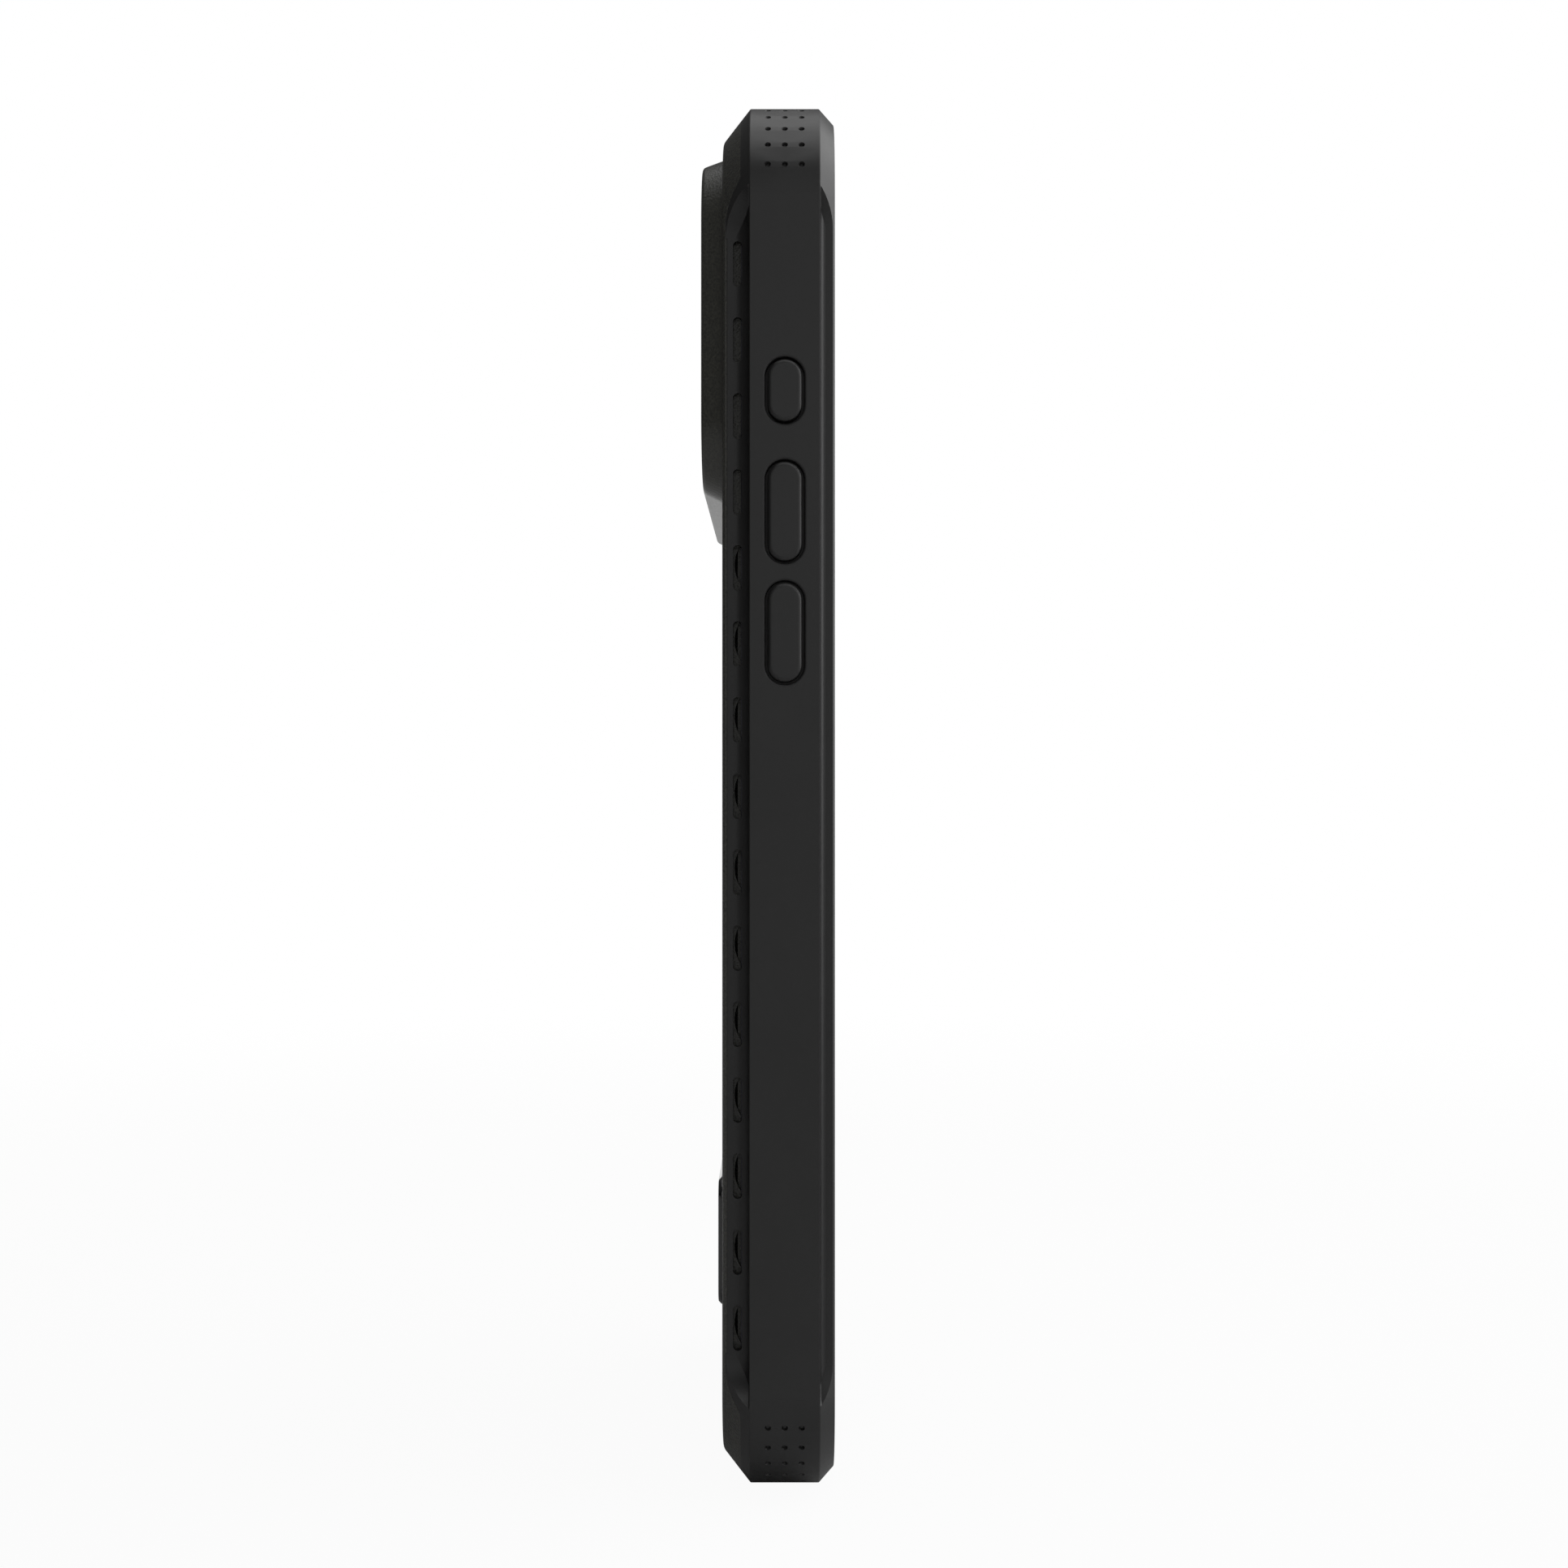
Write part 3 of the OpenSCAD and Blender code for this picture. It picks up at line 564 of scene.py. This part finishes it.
        planted = add_node(group, "GeometryNodeInstanceOnPoints", {
            "Points": points.outputs["Points"], "Instance": tuft.outputs["Mesh"],
            "Rotation": pose.outputs["Vector"], "Scale": size.outputs[1],
        })
        real = add_node(group, "GeometryNodeRealizeInstances", {"Geometry": planted.outputs["Instances"]})
        dyed = add_node(group, "GeometryNodeSetMaterial", {
            "Geometry": real.outputs["Geometry"], "Material": given["Material"],
        })
        add_node(group, "NodeGroupOutput", {"Geometry": dyed.outputs["Geometry"]})
        return group

    def nap(self) -> bpy.types.Object:
        """Plants tufts clear of the cut edges and makes them a plain mesh.

        Returns:
            The tufts' object.
        """
        field = [p for window in (False, True) for p in self.outline(window, self.bare_edge, self.nap_length)]
        tufts = self.make("liner_nap", field, self.web(field, list(range(len(field))), -1))
        group = self.nap_group()
        planter = tufts.modifiers.new("planted_nap", "NODES")
        planter.node_group = group
        values = {
            "Density": self.tufts_per_mm2 / MM ** 2,
            "Tuft Length": self.tuft_reach * self.nap_length * MM,
            "Tuft Width": self.tuft_width / 2 * MM,
            "Lean": math.radians(self.lean.value),
            "Stroke Scale": grains(self.stroke),
            "Seed": self.seed,
            "Material": LINER_SUEDE.material(),
        }
        inputs = [item for item in group.interface.items_tree if item.in_out == "INPUT"]
        sockets = {item.name: item.identifier for item in inputs}
        for name, value in values.items():
            planter[sockets[name]] = value
        planted = bpy.data.meshes.new_from_object(
            tufts.evaluated_get(bpy.context.evaluated_depsgraph_get())
        )
        tufts.modifiers.remove(planter)
        tufts.data = planted
        for vertex in planted.vertices:
            vertex.co.y = min(max(vertex.co.y, 0.0), (self.nap_length + self.root) * MM)
        return tufts

    def build(self) -> None:
        """Makes the sheet and its nap in the place of the construction solid."""
        sheet = self.ground()
        tufts = self.nap()
        for piece in (sheet, tufts):
            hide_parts("seat_liner")
            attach(piece, "case")
            log.info("%s: %s, %d faces", piece.name, LINER_SUEDE.name, len(piece.data.polygons))


# ---------- studio ----------


@dataclass(frozen=True)
class Softbox:
    """A square or oblong lamp aimed at the case, with its radiance as a share of white."""

    name: str
    place: tuple[float, float, float]
    width: float
    height: float
    radiance: float

    def build(self) -> None:
        """Makes the lamp."""
        data = bpy.data.lights.new(self.name, "AREA")
        data.shape = "RECTANGLE"
        data.size = self.width
        data.size_y = self.height
        data.energy = self.radiance * math.pi * self.width * self.height
        lamp = bpy.data.objects.new(self.name, data)
        lamp.location = self.place
        lamp.rotation_euler = (-Vector(self.place)).to_track_quat("-Z", "Y").to_euler()
        lamp.visible_camera = False
        bpy.context.collection.objects.link(lamp)


@dataclass
class Studio:
    """White floor and surroundings, softboxes above and before the case, and the camera."""

    lens: float = 50.0
    sensor: float = 36.0
    camera_gap: float = 0.2352
    camera_y: float = -0.004295
    camera_z: float = 0.00132
    floor_size: float = 12.0
    ambient: float = 0.12
    low_ambient: float = 0.02
    card_way: tuple[float, float, float] = (0.98, 0.13, -0.14)
    card_core: float = 0.18
    card_edge: float = 0.36
    near_white: float = 0.95
    near: float = 0.15
    far: float = 0.5
    boxes: tuple[Softbox, ...] = (
        Softbox("overhead_box", (-0.02, -0.1, 0.65), 0.75, 0.75, 1.6),
        Softbox("front_box", (0.15, -0.9, 0.36), 1.6, 0.95, 2.8),
        Softbox("fill_box", (-1.2, -0.3, 0.1), 1.6, 1.2, 0.66),
    )

    def build(self) -> None:
        """Sets the whole studio up."""
        self.floor()
        self.surroundings()
        for box in self.boxes:
            box.build()
        self.camera()
        bpy.context.scene.view_settings.view_transform = "Standard"

    def card(self, tree: bpy.types.NodeTree, place: bpy.types.NodeSocket) -> bpy.types.NodeSocket:
        """Finds how far a place or a direction lies on a white card low beside the case.

        Args:
            tree: The material's or the world's node tree.
            place: The place or direction, from the case.

        Returns:
            The share of white, from 0 to 1.
        """
        way = add_node(tree, "ShaderNodeVectorMath", {0: place}, operation="NORMALIZE")
        aside = add_node(tree, "ShaderNodeVectorMath", {
            0: way.outputs["Vector"], 1: self.card_way,
        }, operation="SUBTRACT")
        gap = add_node(tree, "ShaderNodeVectorMath", {0: aside.outputs["Vector"]}, operation="LENGTH")
        share = add_node(tree, "ShaderNodeMapRange", {
            "Value": gap.outputs["Value"], "From Min": self.card_core, "From Max": self.card_edge,
            "To Min": 1.0, "To Max": 0.0,
        }, interpolation_type="SMOOTHSTEP")
        return share.outputs["Result"]

    def floor(self) -> None:
        """Lays a pale floor that reads as white and keeps a soft shadow."""
        bpy.ops.mesh.primitive_plane_add(size=self.floor_size, location=(0, 0, CAD_BOX[0].z))
        floor = bpy.context.object
        floor.name = "studio_floor"
        paint = bpy.data.materials.new("studio_floor_paint")
        paint.use_nodes = True
        tree = paint.node_tree
        tree.nodes.clear()
        path = add_node(tree, "ShaderNodeLightPath")
        place = add_node(tree, "ShaderNodeTexCoord").outputs["Object"]
        reach = add_node(tree, "ShaderNodeVectorMath", {0: place}, operation="LENGTH")
        # Far from the case the floor is as white as the room, so that no horizon shows
        white = add_node(tree, "ShaderNodeMapRange", {
            "Value": reach.outputs["Value"], "From Min": self.near, "From Max": self.far,
            "To Min": self.near_white, "To Max": 1.0,
        }, interpolation_type="SMOOTHSTEP")
        seen = add_node(tree, "ShaderNodeMath", {
            0: path.outputs["Is Camera Ray"], 1: path.outputs["Is Transmission Ray"],
        }, operation="MAXIMUM")
        direct = add_node(tree, "ShaderNodeMath", {
            0: seen.outputs["Value"], 1: white.outputs["Result"],
        }, operation="MULTIPLY")
        far = add_node(tree, "ShaderNodeMapRange", {
            "Value": reach.outputs["Value"], "From Min": 0.2, "From Max": self.far,
        }, interpolation_type="SMOOTHSTEP")
        lit = add_node(tree, "ShaderNodeMath", {
            0: self.card(tree, place), 1: far.outputs["Result"],
        }, operation="MULTIPLY")
        mirrored = add_node(tree, "ShaderNodeMath", {
            0: path.outputs["Is Glossy Ray"], 1: lit.outputs["Value"],
        }, operation="MULTIPLY")
        share = add_node(tree, "ShaderNodeMath", {
            0: direct.outputs["Value"], 1: mirrored.outputs["Value"],
        }, operation="MAXIMUM")
        matt = add_node(tree, "ShaderNodeBsdfDiffuse", {"Color": linear("#C4C4C4")})
        glow = add_node(tree, "ShaderNodeEmission", {"Color": linear("#FFFFFF"), "Strength": 1.0})
        mix = add_node(tree, "ShaderNodeMixShader", {
            0: share.outputs["Value"], 1: matt.outputs["BSDF"], 2: glow.outputs["Emission"],
        })
        add_node(tree, "ShaderNodeOutputMaterial", {"Surface": mix.outputs["Shader"]})
        floor.data.materials.append(paint)

    def surroundings(self) -> None:
        """White where the camera looks, and dim for everything that the room lights."""
        world = bpy.data.worlds.new("studio_world")
        bpy.context.scene.world = world
        world.use_nodes = True
        tree = world.node_tree
        tree.nodes.clear()
        path = add_node(tree, "ShaderNodeLightPath")
        seen = add_node(tree, "ShaderNodeMath", {
            0: path.outputs["Is Camera Ray"], 1: path.outputs["Is Transmission Ray"],
        }, operation="MAXIMUM")
        way = add_node(tree, "ShaderNodeTexCoord").outputs["Generated"]
        parts = add_node(tree, "ShaderNodeSeparateXYZ", {"Vector": way})
        # The room is darkest near the floor, and lighter overhead
        room = add_node(tree, "ShaderNodeMapRange", {
            "Value": parts.outputs["Z"], "From Min": 0.0, "From Max": 0.35,
            "To Min": self.low_ambient, "To Max": self.ambient,
        }, interpolation_type="SMOOTHSTEP")
        card = add_node(tree, "ShaderNodeMath", {
            0: self.card(tree, way), 1: path.outputs["Is Glossy Ray"],
        }, operation="MULTIPLY")
        lit = add_node(tree, "ShaderNodeMapRange", {
            "Value": card.outputs["Value"], "To Min": room.outputs["Result"], "To Max": 1.0,
        })
        level = add_node(tree, "ShaderNodeMapRange", {
            "Value": seen.outputs["Value"], "To Min": lit.outputs["Result"], "To Max": 1.0,
        })
        back = add_node(tree, "ShaderNodeBackground", {"Strength": level.outputs["Result"]})
        back.inputs["Color"].default_value = linear("#FFFFFF")
        add_node(tree, "ShaderNodeOutputWorld", {"Surface": back.outputs["Background"]})

    def camera(self) -> None:
        """Looks at the three buttons square on, along +X."""
        data = bpy.data.cameras.new("studio_camera")
        data.lens = self.lens
        data.sensor_width = self.sensor
        data.clip_start = 0.01
        data.clip_end = 50.0
        camera = bpy.data.objects.new("studio_camera", data)
        camera.location = (CAD_BOX[0].x - self.camera_gap, self.camera_y, self.camera_z)
        camera.rotation_euler = (math.pi / 2, 0, -math.pi / 2)
        bpy.context.collection.objects.link(camera)
        bpy.context.scene.camera = camera


def main() -> None:
    """Builds the case and its studio, and notes their sizes."""
    logging.basicConfig(level=logging.INFO, format="%(name)s: %(message)s")
    for group in (BumperFrame(), BackShell(), MagnetSet(), SeatLiner(), SideKeys()):
        group.build()
    Studio().build()


if __name__ == "__main__":
    main()
